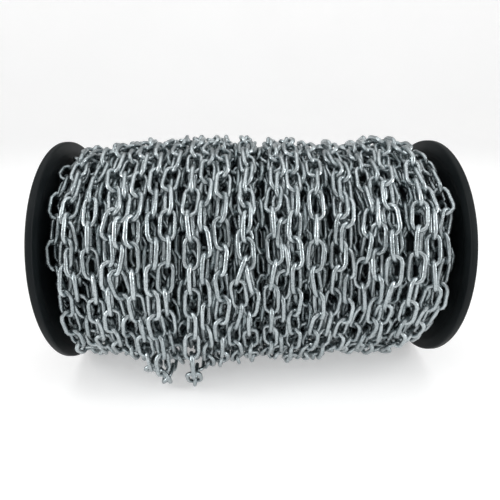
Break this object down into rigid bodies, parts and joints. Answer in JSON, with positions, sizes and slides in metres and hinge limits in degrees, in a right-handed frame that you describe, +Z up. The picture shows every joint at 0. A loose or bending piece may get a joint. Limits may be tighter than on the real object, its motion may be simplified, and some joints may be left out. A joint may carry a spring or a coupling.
{
  "type": "reel of steel chain",
  "caption": "Black moulded reel with two round flanges, wound full with zinc-plated welded steel link chain.",
  "frame": {"origin": "on the floor under the middle of the reel, at the bottom centre of its bounding box", "axes": "+Z up; +X along the reel's axle, from flange_left to flange_right; -Y is the front, where the chain sags most"},
  "size_m": [0.294, 0.1879, 0.1818],
  "materials": {
    "black_plastic": "satin moulded black",
    "zinc_plated_steel": "bright zinc plating, scuffed where links rub"
  },
  "bodies": {
    "root": {"flange_left": "black_plastic", "flange_right": "black_plastic", "barrel": "black_plastic", "chain_core": "zinc_plated_steel", "chain_turn_01": "zinc_plated_steel", "chain_turn_02": "zinc_plated_steel", "chain_turn_03": "zinc_plated_steel", "chain_turn_04": "zinc_plated_steel", "chain_turn_05": "zinc_plated_steel", "chain_turn_06": "zinc_plated_steel", "chain_turn_07": "zinc_plated_steel", "chain_turn_08": "zinc_plated_steel", "chain_turn_09": "zinc_plated_steel", "chain_turn_10": "zinc_plated_steel", "chain_turn_11": "zinc_plated_steel", "chain_turn_12": "zinc_plated_steel", "chain_turn_13": "zinc_plated_steel", "chain_turn_14": "zinc_plated_steel", "chain_turn_15": "zinc_plated_steel", "chain_turn_16": "zinc_plated_steel", "chain_turn_17": "zinc_plated_steel", "chain_turn_18": "zinc_plated_steel", "chain_turn_19": "zinc_plated_steel", "chain_turn_20": "zinc_plated_steel", "chain_turn_21": "zinc_plated_steel", "chain_turn_22": "zinc_plated_steel", "chain_turn_23": "zinc_plated_steel", "chain_turn_24": "zinc_plated_steel", "chain_turn_25": "zinc_plated_steel"}
  },
  "joints": []
}
